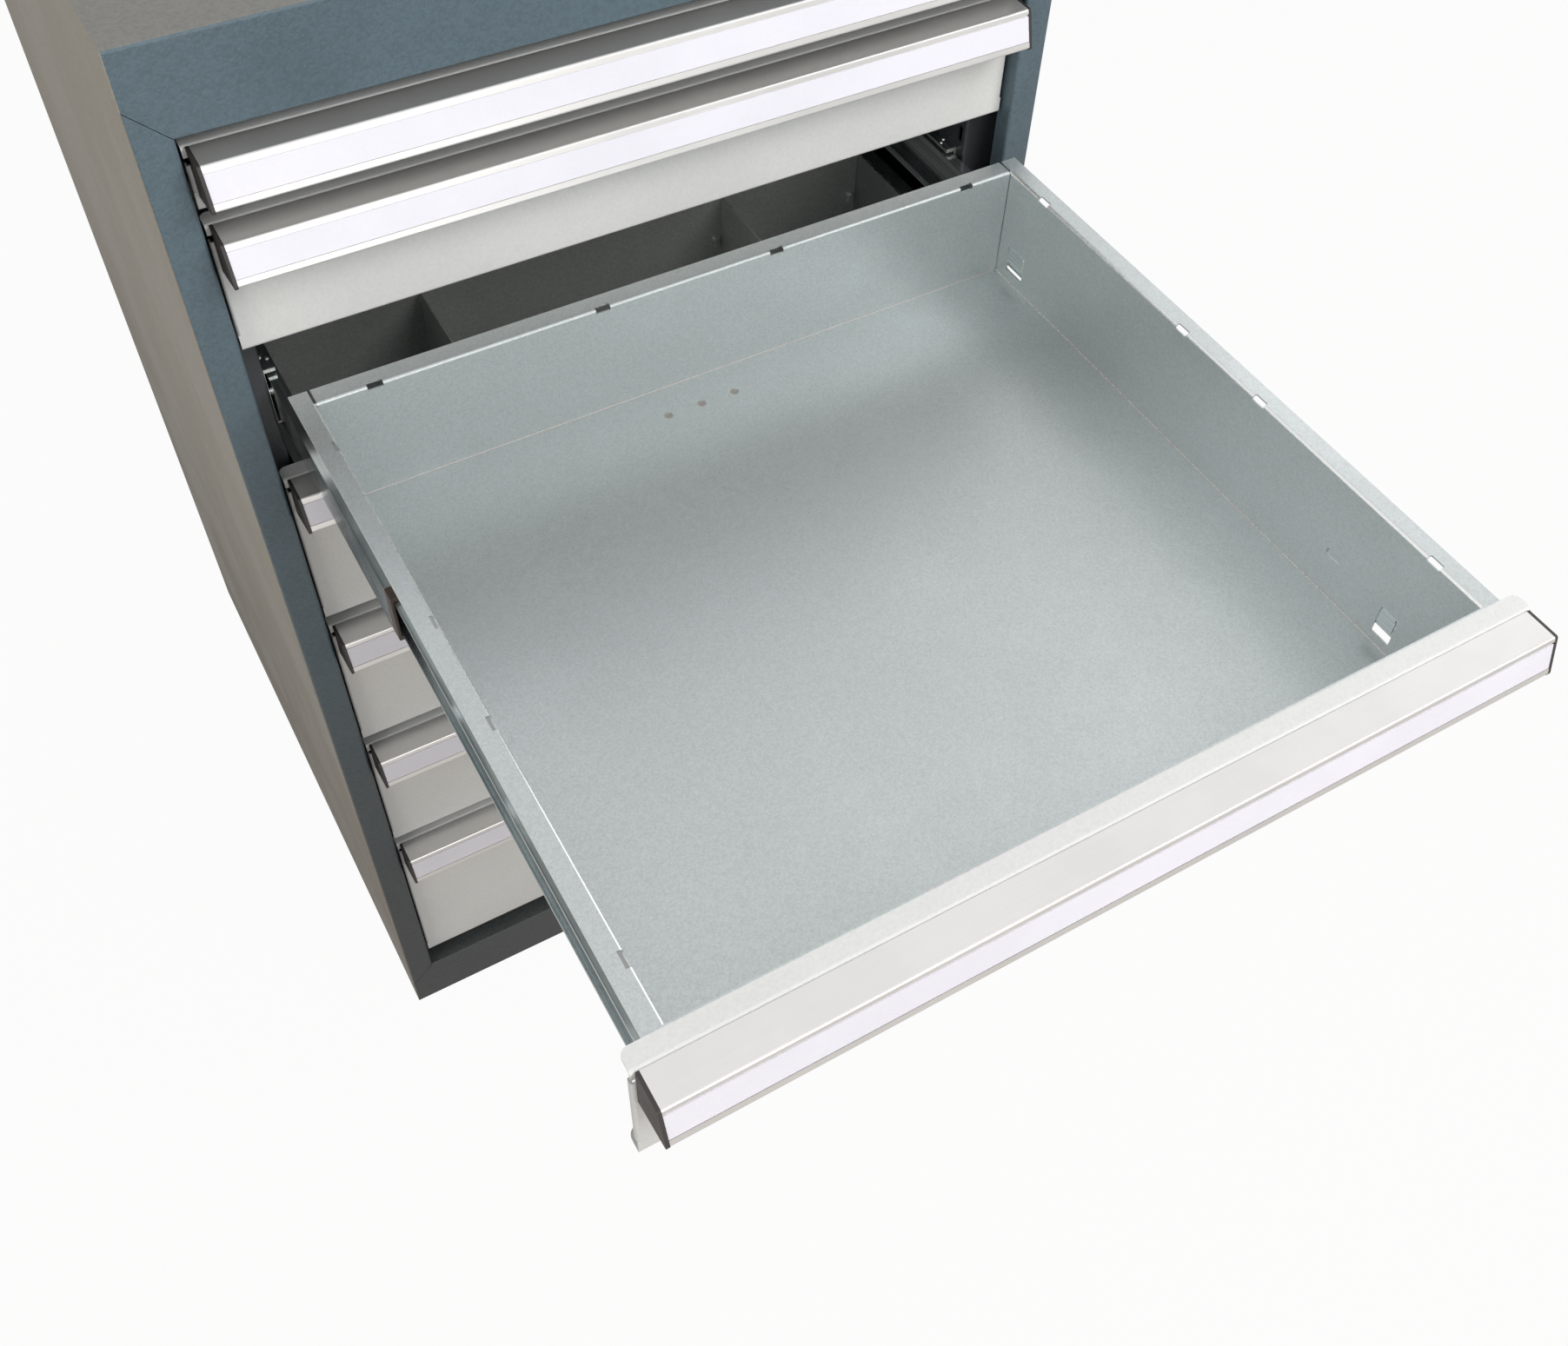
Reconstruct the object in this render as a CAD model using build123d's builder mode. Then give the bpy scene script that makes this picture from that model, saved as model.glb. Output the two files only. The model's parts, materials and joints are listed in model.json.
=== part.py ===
"""Floor-standing sheet-steel drawer cabinet with seven drawers, the third one pulled out.

Millimetres, +Z up. The origin is at the centre of the underside of the base. The cabinet's
front looks along -Y, and its sides are at -X and +X.
"""

import os
from math import hypot

from build123d import *

# Drawer heights, from the top down, counted in steps of one height unit
height_step = 60
front_steps = (1, 2, 2, 3, 3, 3, 4)
open_drawer = 3
drawer_travel = 620

# Housing
cabinet_depth = 725
housing_sheet = 1.5
housing_bend = 2.5
stile_width = 26.5
stile_return_depth = 17
top_rail_height = 67
bottom_rail_height = 68
rail_return_depth = 30
rail_lip_height = 12
rail_edge_radius = 1.2
rear_flange_width = 25
mitre_gap = 0.8
bend_clearance = 0.3

# Gaps around the fronts
front_gap = 12
top_gap = 14
bottom_gap = 13
front_side_gap = 3
front_recess = 12

# Drawer fronts
front_sheet = 1.5
front_bend = 3
front_flange_depth = 15.5
front_flange_corner = 6
side_return_depth = 5
side_return_relief = 14
side_bend = 2.2
edge_notch_height = 6
edge_notch_depth = 3

# Handles
handle_top_depth = 25.2
handle_reach = 33.8
handle_drop = 29.3
handle_wall = 2
handle_slope_wall = 3
handle_leg_height = 30
handle_edge_radius = 2
handle_lip_radius = 1.2
label_recess_start = 3.4
label_recess_width = 21.9
label_recess_depth = 1
label_clearance = 0.35
label_upper_gap = 2
label_thickness = 0.7
cap_thickness = 2.5
cap_inset = 2.8
cap_bottom_drop = 38
cap_front_drop = 31
cap_corner_radius = 2.5

# Trays
tray_inner_width = 600
tray_sheet = 1.2
tray_bend = 1.3
tray_depth = 557
tray_lift = 8
side_flange_width = 13.8
back_flange_depth = 16
flange_slit = 2.2
fold_slot_length = 12
fold_slot_width = 4
fold_slot_drop = 3.5
back_slot_places = (75.5, 256)
side_slot_centre = 271
side_slot_places = (45, 225)
floor_hole_diameter = 7
floor_hole_spacing = 30
floor_hole_offset = 9.5
floor_hole_inset = 31
rear_window_inset = 13
rear_window_length = 23
rear_window_height = 23.5
front_window_setback = 64
front_window_length = 17
front_window_height = 26
window_rise = 1
small_slot_setback = 126
small_slot_length = 14
small_slot_height = 6
small_slot_rise = 6
corner_relief = 3.4
corner_slit = 0.5

# Partitions of one drawer, which end at a cross wall
partition_drawer = 4
partition_places = (-150, 150)
partition_thickness = 1.2
partition_clearance = 0.3
partition_headroom = 1.5
partition_foot = 9
cross_wall_setback = 151
lug_width = 5
lug_depth = 4
lug_height = 10
lug_drop = 44
lug_gap = 5

# Ball-bearing slides: thickness counts from the posts towards the drawer
slide_thickness = 15
slide_height = 54
slide_sheet = 1.5
slide_centre_drop = 67
shallow_centre_drop = 30
ball_diameter = 3.1
ball_clearance = 0.1
fixed_rail_depth = 10.5
fixed_rail_lip = 3
fixed_rail_setback = 48
fixed_rail_length = 600
middle_rail_offset = 3
middle_rail_depth = 9.5
middle_rail_lip = 3.5
middle_rail_setback = 66.5
middle_rail_length = 468
inner_rail_depth = 9.3
inner_rail_lip = 3
inner_rail_setback = 18
inner_rail_length = 570
window_pad_gap = 2
window_pad_end_gap = 0.2
window_pad_height = 13
window_pad_thickness = 0.9
window_pad_corner = 3
cage_thickness = 0.8
cage_length = 200
cage_end_margin = 20
balls_per_cage = 6
cage_lip_clearance = 0.4
outer_cage_width = 5
inner_cage_width = 4.1

# Posts that carry the slides
post_depth = 40.8
post_width = 40
post_sheet = 2
post_setback = 19.5
post_bend = 2.5
rear_post_inset = 17
post_slot_width = 6
post_slot_height = 14
post_slot_column = 12
rivet_diameter = 5
rivet_hole_clearance = 0.1
rivet_head_diameter = 9
rivet_head_height = 1.2

# Places that follow from the sizes above
slide_back_x = tray_inner_width / 2 + tray_sheet + slide_thickness
half_width = slide_back_x + post_depth + housing_sheet
skin_inside_x = half_width - housing_sheet
inside_bend_room = housing_bend - housing_sheet + bend_clearance
opening_half = half_width - stile_width
front_half = opening_half - front_side_gap
front_y = -cabinet_depth / 2
rear_y = cabinet_depth / 2
opening_bottom = bottom_rail_height
opening_top = opening_bottom + bottom_gap - front_gap + sum(front_steps) * height_step + top_gap
cabinet_height = opening_top + top_rail_height
closed_face_y = front_y + front_recess
fixed_front_y = front_y + fixed_rail_setback
fixed_rear_y = fixed_front_y + fixed_rail_length
post_centres_y = (
    front_y + stile_return_depth + post_setback + post_width / 2,
    fixed_rear_y - rear_post_inset - post_width / 2,
)
handle_half = front_half - cap_inset - cap_thickness

os.makedirs("parts", exist_ok=True)


def write_piece(builder, name):
    builder.part.label = name
    export_step(builder.part, f"parts/{name}.step")


# Right side panel: one folded sheet with stile, return and rear flange
with BuildPart() as right_side_panel:
    with BuildSketch(Plane.XY.offset(housing_sheet)):
        with BuildLine():
            FilletPolyline(
                (opening_half, front_y + stile_return_depth),
                (opening_half, front_y),
                (half_width, front_y),
                (half_width, rear_y),
                (half_width - rear_flange_width, rear_y),
                radius=housing_bend,
            )
            offset(amount=housing_sheet, side=Side.LEFT)
        make_face()
    extrude(amount=cabinet_height - 2 * housing_sheet)
    # the stile's ends are cut at 45 degrees against the two rails
    with BuildSketch(Plane.XZ.offset(-front_y)):
        with BuildLine():
            Polyline(
                (opening_half, opening_top - mitre_gap),
                (half_width, opening_top + stile_width - mitre_gap),
                (half_width, cabinet_height),
                (opening_half, cabinet_height),
                close=True,
            )
        make_face()
        with BuildLine():
            Polyline(
                (opening_half, opening_bottom + mitre_gap),
                (half_width, opening_bottom - stile_width + mitre_gap),
                (half_width, 0),
                (opening_half, 0),
                close=True,
            )
        make_face()
    extrude(amount=-housing_sheet, mode=Mode.SUBTRACT)
    # the return stops at the rails' returns
    with BuildSketch(Plane.XY.offset(opening_top - mitre_gap)):
        with Locations((opening_half, front_y + housing_sheet)):
            Rectangle(stile_width / 2, stile_return_depth, align=(Align.MIN, Align.MIN))
    extrude(amount=cabinet_height - opening_top, mode=Mode.SUBTRACT)
    with BuildSketch(Plane.XY):
        with Locations((opening_half, front_y + housing_sheet)):
            Rectangle(stile_width / 2, stile_return_depth, align=(Align.MIN, Align.MIN))
    extrude(amount=opening_bottom + mitre_gap, mode=Mode.SUBTRACT)
    # the rear flange leaves room for those of the top and the base
    for level in (0, cabinet_height - rear_flange_width - mitre_gap):
        with BuildSketch(Plane.XY.offset(level)):
            with Locations((half_width, rear_y)):
                Rectangle(rear_flange_width, housing_sheet, align=(Align.MAX, Align.MAX))
        extrude(amount=rear_flange_width + mitre_gap, mode=Mode.SUBTRACT)
    # the skin's corners clear the bends of the top and the base
    with BuildSketch(Plane.YZ.offset(skin_inside_x - inside_bend_room)):
        with Locations((0, cabinet_height / 2)):
            skin_length = cabinet_depth - 2 * housing_sheet
            skin_height = cabinet_height - 2 * housing_sheet
            with GridLocations(skin_length, skin_height, 2, 2):
                Rectangle(2 * inside_bend_room, 2 * inside_bend_room)
    extrude(amount=inside_bend_room + housing_sheet, mode=Mode.SUBTRACT)
write_piece(right_side_panel, "right_side_panel")

with BuildPart() as left_side_panel:
    mirror(right_side_panel.part, about=Plane.YZ)
write_piece(left_side_panel, "left_side_panel")


# Top and base panels: skin, front rail with its return, rear flange
def rail_panel(rail_edge, skin_level, inward):
    """inward is +1 when the material lies above the skin level and -1 when it lies below."""
    away = -inward
    with BuildPart() as panel:
        with BuildSketch(Plane.YZ):
            with BuildLine():
                FilletPolyline(
                    (front_y, rail_edge),
                    (front_y, skin_level),
                    (rear_y, skin_level),
                    (rear_y, skin_level + inward * rear_flange_width),
                    radius=housing_bend,
                )
                offset(amount=housing_sheet, side=Side.LEFT if inward > 0 else Side.RIGHT)
            make_face()
        extrude(amount=half_width, both=True)
        front_edges = panel.edges().filter_by(Axis.X).group_by(Axis.Y)[0]
        rail_corner = front_edges.sort_by_distance((0, front_y, rail_edge))[0]
        fillet(rail_corner, radius=rail_edge_radius)
        with BuildSketch(Plane.YZ):
            with BuildLine():
                FilletPolyline(
                    (front_y + housing_sheet, rail_edge),
                    (front_y + rail_return_depth, rail_edge),
                    (front_y + rail_return_depth, rail_edge + away * rail_lip_height),
                    radius=housing_bend,
                )
                offset(amount=housing_sheet, side=Side.LEFT if away > 0 else Side.RIGHT)
            make_face()
        extrude(amount=opening_half, both=True)
        with BuildSketch(Plane.XZ.offset(-front_y)):
            for side in (-1, 1):
                with BuildLine():
                    Polyline(
                        (side * opening_half, rail_edge),
                        (side * half_width, rail_edge + away * stile_width),
                        (side * half_width, rail_edge),
                        close=True,
                    )
                make_face()
        extrude(amount=-housing_sheet, mode=Mode.SUBTRACT)
    return panel


top_panel = rail_panel(opening_top, cabinet_height, -1)
write_piece(top_panel, "top_panel")
base_panel = rail_panel(opening_bottom, 0, 1)
write_piece(base_panel, "base_panel")

with BuildPart() as back_panel:
    with BuildSketch(Plane.XZ.offset(housing_sheet - rear_y)):
        with Locations((0, cabinet_height / 2)):
            Rectangle(
                2 * (skin_inside_x - inside_bend_room),
                cabinet_height - 2 * (housing_sheet + inside_bend_room),
            )
    extrude(amount=housing_sheet)
write_piece(back_panel, "back_panel")


# Drawer levels: top edge, front height, tray height and slide centre of each drawer
drawers = []
level = opening_top - top_gap
for number, steps in enumerate(front_steps, start=1):
    front_height = steps * height_step - front_gap
    drop = slide_centre_drop if steps > 1 else shallow_centre_drop
    shift = drawer_travel if number == open_drawer else 0
    drawers.append((number, level, front_height, level - drop, shift))
    level -= steps * height_step

# Slide posts: perforated channels between the side skins and the slides
for side_name, side in (("left", -1), ("right", 1)):
    with BuildPart() as slide_posts:
        with BuildSketch(Plane.XY.offset(housing_sheet)):
            for post_y in post_centres_y:
                with Locations((side * (slide_back_x + post_depth / 2), post_y)):
                    Rectangle(post_depth, post_width)
                with Locations((side * (slide_back_x + (post_depth + post_sheet) / 2), post_y)):
                    Rectangle(
                        post_depth - post_sheet, post_width - 2 * post_sheet, mode=Mode.SUBTRACT
                    )
        extrude(amount=cabinet_height - 2 * housing_sheet)
        upright = slide_posts.edges().filter_by(Axis.Z)
        face_corners = [
            edge for edge in upright if abs(abs(edge.center().X) - slide_back_x) < post_sheet / 4
        ]
        fillet(face_corners, radius=post_bend)
        with BuildSketch(Plane.YZ.offset(side * slide_back_x)):
            for post_y in post_centres_y:
                with Locations((post_y, cabinet_height / 2)):
                    with GridLocations(2 * post_slot_column, height_step, 2, sum(front_steps)):
                        Rectangle(post_slot_width, post_slot_height)
                for number, top, height, centre, shift in drawers:
                    with Locations((post_y, centre)):
                        Circle(rivet_diameter / 2 + rivet_hole_clearance)
        extrude(amount=side * post_sheet, mode=Mode.SUBTRACT)
    write_piece(slide_posts, f"{side_name}_slide_posts")


def channel(web, lip, half_height, lip_height, centre, side):
    """Corner points of a lipped channel; web and lip are the outer faces, counted from the posts."""
    inward = slide_sheet if lip > web else -slide_sheet
    upper = [
        (web, half_height),
        (lip, half_height),
        (lip, half_height - lip_height),
        (lip - inward, half_height - lip_height),
        (lip - inward, half_height - slide_sheet),
        (web + inward, half_height - slide_sheet),
    ]
    lower = [(depth, -rise) for depth, rise in reversed(upper)]
    return [(side * (slide_back_x - depth), centre + rise) for depth, rise in upper + lower]


fixed_half = slide_height / 2
ball_gap = ball_diameter + 2 * ball_clearance
middle_half = fixed_half - slide_sheet - ball_gap
inner_half = middle_half - slide_sheet - ball_gap
outer_ball_rise = fixed_half - slide_sheet - ball_gap / 2
inner_ball_rise = middle_half - slide_sheet - ball_gap / 2
middle_lip_face = middle_rail_offset + middle_rail_depth
outer_cage_depth = fixed_rail_depth - slide_sheet - cage_lip_clearance - outer_cage_width / 2
inner_cage_depth = middle_lip_face - slide_sheet - cage_lip_clearance - inner_cage_width / 2

# Fixed rails, riveted to the posts
for side_name, side in (("left", -1), ("right", 1)):
    with BuildPart() as fixed_rails:
        for number, top, height, centre, shift in drawers:
            with BuildSketch(Plane.XZ.offset(-fixed_front_y)):
                with BuildLine():
                    Polyline(
                        *channel(0, fixed_rail_depth, fixed_half, fixed_rail_lip, centre, side),
                        close=True,
                    )
                make_face()
            extrude(amount=-fixed_rail_length)
        with BuildSketch(Plane.YZ.offset(side * slide_back_x)):
            for number, top, height, centre, shift in drawers:
                for post_y in post_centres_y:
                    with Locations((post_y, centre)):
                        Circle(rivet_diameter / 2 + rivet_hole_clearance)
        extrude(amount=-side * slide_sheet, mode=Mode.SUBTRACT)
    write_piece(fixed_rails, f"fixed_rails_{side_name}")

with BuildPart() as rail_rivets:
    for side in (-1, 1):
        places = [
            (post_y, centre)
            for number, top, height, centre, shift in drawers
            for post_y in post_centres_y
        ]
        with BuildSketch(Plane.YZ.offset(side * (slide_back_x + post_sheet))):
            with Locations(*places):
                Circle(rivet_diameter / 2)
        extrude(amount=-side * (post_sheet + slide_sheet))
        with BuildSketch(Plane.YZ.offset(side * (slide_back_x - slide_sheet))):
            with Locations(*places):
                Circle(rivet_head_diameter / 2)
        extrude(amount=-side * rivet_head_height)
        with BuildSketch(Plane.YZ.offset(side * (slide_back_x + post_sheet))):
            with Locations(*places):
                Circle(rivet_head_diameter / 2)
        extrude(amount=side * rivet_head_height)
write_piece(rail_rivets, "rail_rivets")


def front_panel(top, height, face_y):
    """Folded front: flanges above and below, narrow returns at the two sides."""
    with BuildPart() as front:
        with BuildSketch(Plane.YZ):
            with BuildLine():
                FilletPolyline(
                    (face_y + front_flange_depth, top),
                    (face_y, top),
                    (face_y, top - height),
                    (face_y + front_flange_depth, top - height),
                    radius=front_bend,
                )
                offset(amount=front_sheet, side=Side.LEFT)
            make_face()
        extrude(amount=front_half, both=True)
        flange_corners = front.edges().filter_by(Axis.Z).group_by(Axis.Y)[-1]
        fillet(flange_corners, radius=front_flange_corner)
        return_height = height - 2 * side_return_relief
        with BuildSketch(Plane.XY.offset(top - side_return_relief)):
            for side in (-1, 1):
                with Locations((side * (front_half - front_sheet / 2), face_y)):
                    Rectangle(front_sheet, side_return_depth, align=(Align.CENTER, Align.MIN))
        extrude(amount=-return_height)
        with BuildSketch(Plane.XZ.offset(-face_y)):
            with Locations((0, top - side_return_relief + edge_notch_height / 2)):
                with GridLocations(2 * front_half - edge_notch_depth, 1, 2, 1):
                    Rectangle(edge_notch_depth, edge_notch_height)
        extrude(amount=-front_flange_depth, mode=Mode.SUBTRACT)
        # the bends of the returns are rounded on their outside
        with BuildSketch(Plane.XY.offset(top - side_return_relief)):
            for side in (-1, 1):
                corner_align = (Align.MAX if side > 0 else Align.MIN, Align.MIN)
                with Locations((side * front_half, face_y)):
                    Rectangle(side_bend, side_bend, align=corner_align)
                with Locations((side * (front_half - side_bend), face_y + side_bend)):
                    Circle(side_bend, mode=Mode.SUBTRACT)
        extrude(amount=-return_height, mode=Mode.SUBTRACT)
    return front


slope_length = hypot(handle_reach - handle_top_depth, handle_drop)
slope_along = (-(handle_reach - handle_top_depth) / slope_length, -handle_drop / slope_length)


def slope_point(distance, depth, top, face_y):
    """A point of the handle's sloping wall, from its upper edge down and from its face inwards."""
    return (
        face_y - handle_top_depth + slope_along[0] * distance - slope_along[1] * depth,
        top + slope_along[1] * distance + slope_along[0] * depth,
    )


def handle_bar(top, face_y):
    """Extruded handle: leg on the front, flat top, sloping wall with a recess for the label."""
    inner_top = (handle_wall + slope_along[0] * handle_slope_wall) / -slope_along[1]
    recess_end = label_recess_start + label_recess_width
    with BuildPart() as handle:
        with BuildSketch(Plane.YZ) as section:
            with BuildLine():
                Polyline(
                    (face_y, top),
                    slope_point(0, 0, top, face_y),
                    slope_point(label_recess_start, 0, top, face_y),
                    slope_point(label_recess_start, label_recess_depth, top, face_y),
                    slope_point(recess_end, label_recess_depth, top, face_y),
                    slope_point(recess_end, 0, top, face_y),
                    slope_point(slope_length, 0, top, face_y),
                    slope_point(slope_length, handle_slope_wall, top, face_y),
                    slope_point(inner_top, handle_slope_wall, top, face_y),
                    (face_y - handle_wall, top - handle_wall),
                    (face_y - handle_wall, top - handle_leg_height),
                    (face_y, top - handle_leg_height),
                    close=True,
                )
            make_face()
            corners = section.vertices()
            front_edge = corners.sort_by_distance(slope_point(0, 0, top, face_y))[0]
            fillet(front_edge, radius=handle_edge_radius)
            lip_middle = slope_point(slope_length, handle_slope_wall / 2, top, face_y)
            fillet(section.vertices().sort_by_distance(lip_middle)[:2], radius=handle_lip_radius)
        extrude(amount=handle_half, both=True)
    return handle


def label_strip(top, face_y):
    start = label_recess_start + label_upper_gap
    end = label_recess_start + label_recess_width - label_clearance
    with BuildPart() as strip:
        with BuildSketch(Plane.YZ):
            with BuildLine():
                Polyline(
                    slope_point(start, label_recess_depth, top, face_y),
                    slope_point(start, label_recess_depth - label_thickness, top, face_y),
                    slope_point(end, label_recess_depth - label_thickness, top, face_y),
                    slope_point(end, label_recess_depth, top, face_y),
                    close=True,
                )
            make_face()
        extrude(amount=handle_half, both=True)
    return strip


def end_caps(top, face_y):
    """Plates that close the two ends of the handle, its finger space included."""
    cap_front = face_y - handle_top_depth + slope_along[0] * cap_front_drop / -slope_along[1]
    with BuildPart() as caps:
        for side in (-1, 1):
            with BuildSketch(Plane.YZ.offset(side * handle_half)) as outline:
                with BuildLine():
                    Polyline(
                        (face_y, top),
                        (face_y - handle_top_depth, top),
                        (cap_front, top - cap_front_drop),
                        (face_y, top - cap_bottom_drop),
                        close=True,
                    )
                make_face()
                corners = outline.vertices()
                upper = corners.sort_by_distance((face_y - handle_top_depth, top))[0]
                lower = corners.sort_by_distance((cap_front, top - cap_front_drop))[0]
                fillet(upper, radius=handle_edge_radius)
                rounded = outline.vertices().sort_by_distance((cap_front, top - cap_front_drop))
                fillet(rounded[0], radius=cap_corner_radius)
            extrude(amount=side * cap_thickness)
    return caps


def wall_openings(top, height, centre, face_y):
    """Front edge, length, upper edge and height of each opening in a tray's side walls."""
    window_top = centre + window_rise
    if window_top - front_window_height < top - height + tray_lift:
        return []
    rear_window_y = face_y + tray_depth - rear_window_inset - rear_window_length
    return [
        (rear_window_y, rear_window_length, window_top, rear_window_height),
        (face_y + front_window_setback, front_window_length, window_top, front_window_height),
        (
            face_y + small_slot_setback,
            small_slot_length,
            centre + small_slot_rise,
            small_slot_height,
        ),
    ]


def tray_box(top, height, centre, face_y):
    """Folded tray with outward flanges, slots in its fold lines and windows in its sides."""
    floor_level = top - height + tray_lift
    wall_height = height - tray_lift
    front_inside = face_y + front_flange_depth + tray_sheet
    back_inside = face_y + tray_depth
    wall_x = tray_inner_width / 2
    middle_y = (front_inside + back_inside) / 2
    length = back_inside - front_inside
    with BuildPart() as tray:
        with BuildSketch(Plane.XY.offset(floor_level - tray_sheet)):
            with Locations((0, middle_y)):
                Rectangle(2 * (wall_x + tray_sheet), length + 2 * tray_sheet)
        extrude(amount=wall_height + tray_sheet)
        with BuildSketch(Plane.XY.offset(floor_level)):
            with Locations((0, middle_y)):
                Rectangle(2 * wall_x, length)
        extrude(amount=wall_height, mode=Mode.SUBTRACT)
        with BuildSketch(Plane.XY.offset(top)):
            flange_front = front_inside - tray_sheet
            flange_length = back_inside + back_flange_depth - flange_front
            for side in (-1, 1):
                flange_x = side * (wall_x + tray_sheet + side_flange_width / 2)
                with Locations((flange_x, flange_front)):
                    Rectangle(side_flange_width, flange_length, align=(Align.CENTER, Align.MIN))
            with Locations((0, back_inside)):
                Rectangle(
                    2 * (wall_x + tray_sheet),
                    back_flange_depth,
                    align=(Align.CENTER, Align.MIN),
                )
        extrude(amount=-tray_sheet)
        # the flanges' bends, first under the flanges and then at the top
        for level, thickness, radius in (
            (top - tray_sheet, tray_sheet, tray_bend),
            (top, 0, tray_bend + tray_sheet),
        ):
            rim = tray.edges().filter_by(GeomType.LINE).filter_by_position(Axis.Z, level, level)
            bend_sides = [
                edge
                for edge in rim.filter_by(Axis.Y)
                if abs(abs(edge.center().X) - wall_x - thickness) < tray_sheet / 4
                and edge.length > length / 2
            ]
            bend_back = [
                edge
                for edge in rim.filter_by(Axis.X)
                if abs(edge.center().Y - back_inside - thickness) < tray_sheet / 4
                and edge.length > wall_x
            ]
            fillet(bend_sides + bend_back, radius=radius)
        # slits between the side flanges and the back flange
        with BuildSketch(Plane.XY.offset(top)):
            for side in (-1, 1):
                slit_x = side * (wall_x + tray_sheet - flange_slit / 2)
                with Locations((slit_x, back_inside + tray_sheet)):
                    Rectangle(flange_slit, back_flange_depth, align=(Align.CENTER, Align.MIN))
        extrude(amount=-(tray_sheet + tray_bend), mode=Mode.SUBTRACT)
        # slots in the upper fold lines of the back and the sides
        with BuildSketch(Plane.XY.offset(top)):
            for place in back_slot_places:
                with Locations((-place, back_inside), (place, back_inside)):
                    Rectangle(
                        fold_slot_length, fold_slot_width, align=(Align.CENTER, Align.MIN)
                    )
            for place in side_slot_places:
                for slot_y in (side_slot_centre - place, side_slot_centre + place):
                    slot_x = wall_x + fold_slot_width / 2
                    with Locations((-slot_x, back_inside - slot_y), (slot_x, back_inside - slot_y)):
                        Rectangle(fold_slot_width, fold_slot_length)
        extrude(amount=-fold_slot_drop, mode=Mode.SUBTRACT)
        with BuildSketch(Plane.XY.offset(floor_level)):
            with Locations((-floor_hole_offset, back_inside - floor_hole_inset)):
                with GridLocations(floor_hole_spacing, 1, 3, 1):
                    Circle(floor_hole_diameter / 2)
        extrude(amount=-tray_sheet, mode=Mode.SUBTRACT)
        # relief holes and slits at the two rear corners
        with BuildSketch(Plane.XY.offset(floor_level + corner_relief / 2)):
            with Locations((-wall_x, back_inside), (wall_x, back_inside)):
                Circle(corner_relief / 2)
        extrude(amount=-corner_relief / 2 - tray_sheet, mode=Mode.SUBTRACT)
        with BuildSketch(Plane.XY.offset(floor_level)):
            for side in (-1, 1):
                with Locations((side * (wall_x - corner_slit / 2), back_inside)):
                    Rectangle(corner_slit, tray_sheet, align=(Align.CENTER, Align.MIN))
        extrude(amount=wall_height, mode=Mode.SUBTRACT)
        openings = wall_openings(top, height, centre, face_y)
        if openings:
            with BuildSketch(Plane.YZ):
                for place, opening_length, level, opening_height in openings:
                    with Locations((place, level)):
                        Rectangle(opening_length, opening_height, align=(Align.MIN, Align.MAX))
            extrude(amount=wall_x + 2 * tray_sheet, both=True, mode=Mode.SUBTRACT)
    return tray


def inner_rails(top, height, centre, face_y):
    """Inner rails with pads that enter the two windows of each side wall."""
    openings = wall_openings(top, height, centre, face_y)
    wall_face = slide_back_x - slide_thickness
    with BuildPart() as rails:
        for side in (-1, 1):
            with BuildSketch(Plane.XZ.offset(-(face_y + inner_rail_setback))):
                with BuildLine():
                    Polyline(
                        *channel(
                            slide_thickness,
                            slide_thickness - inner_rail_depth,
                            inner_half,
                            inner_rail_lip,
                            centre,
                            side,
                        ),
                        close=True,
                    )
                make_face()
            extrude(amount=-inner_rail_length)
        for place, length, level, opening_height in openings[:2]:
            for side in (-1, 1):
                with BuildSketch(Plane.YZ.offset(side * wall_face)) as pad:
                    with Locations((place + length - window_pad_end_gap, level - window_pad_gap)):
                        Rectangle(
                            length - window_pad_gap - window_pad_end_gap,
                            window_pad_height,
                            align=(Align.MAX, Align.MAX),
                        )
                    free_corner = pad.vertices().sort_by_distance((place, level))[0]
                    fillet(free_corner, radius=window_pad_corner)
                extrude(amount=-side * window_pad_thickness)
    return rails


def middle_rails(centre, shift):
    """Middle rails with the ball cages that run between them and the other two rails."""
    rail_front = fixed_front_y + middle_rail_setback - shift / 2
    rail_rear = rail_front + middle_rail_length
    ball_pitch = (cage_length - 2 * outer_cage_width) / (balls_per_cage - 1)
    with BuildPart() as rails:
        for side in (-1, 1):
            with BuildSketch(Plane.XZ.offset(-rail_front)):
                with BuildLine():
                    Polyline(
                        *channel(
                            middle_rail_offset,
                            middle_lip_face,
                            middle_half,
                            middle_rail_lip,
                            centre,
                            side,
                        ),
                        close=True,
                    )
                make_face()
            extrude(amount=-middle_rail_length)
            for depth, rise, width, middle_y in (
                (
                    outer_cage_depth,
                    outer_ball_rise,
                    outer_cage_width,
                    rail_rear - cage_end_margin - cage_length / 2,
                ),
                (
                    inner_cage_depth,
                    inner_ball_rise,
                    inner_cage_width,
                    rail_front + cage_end_margin + cage_length / 2,
                ),
            ):
                cage_x = side * (slide_back_x - depth)
                for cage_z in (centre - rise, centre + rise):
                    with Locations((cage_x, middle_y, cage_z)):
                        Box(width, cage_length, cage_thickness)
                        with GridLocations(1, ball_pitch, 1, balls_per_cage):
                            Sphere(ball_diameter / 2)
    return rails


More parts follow.
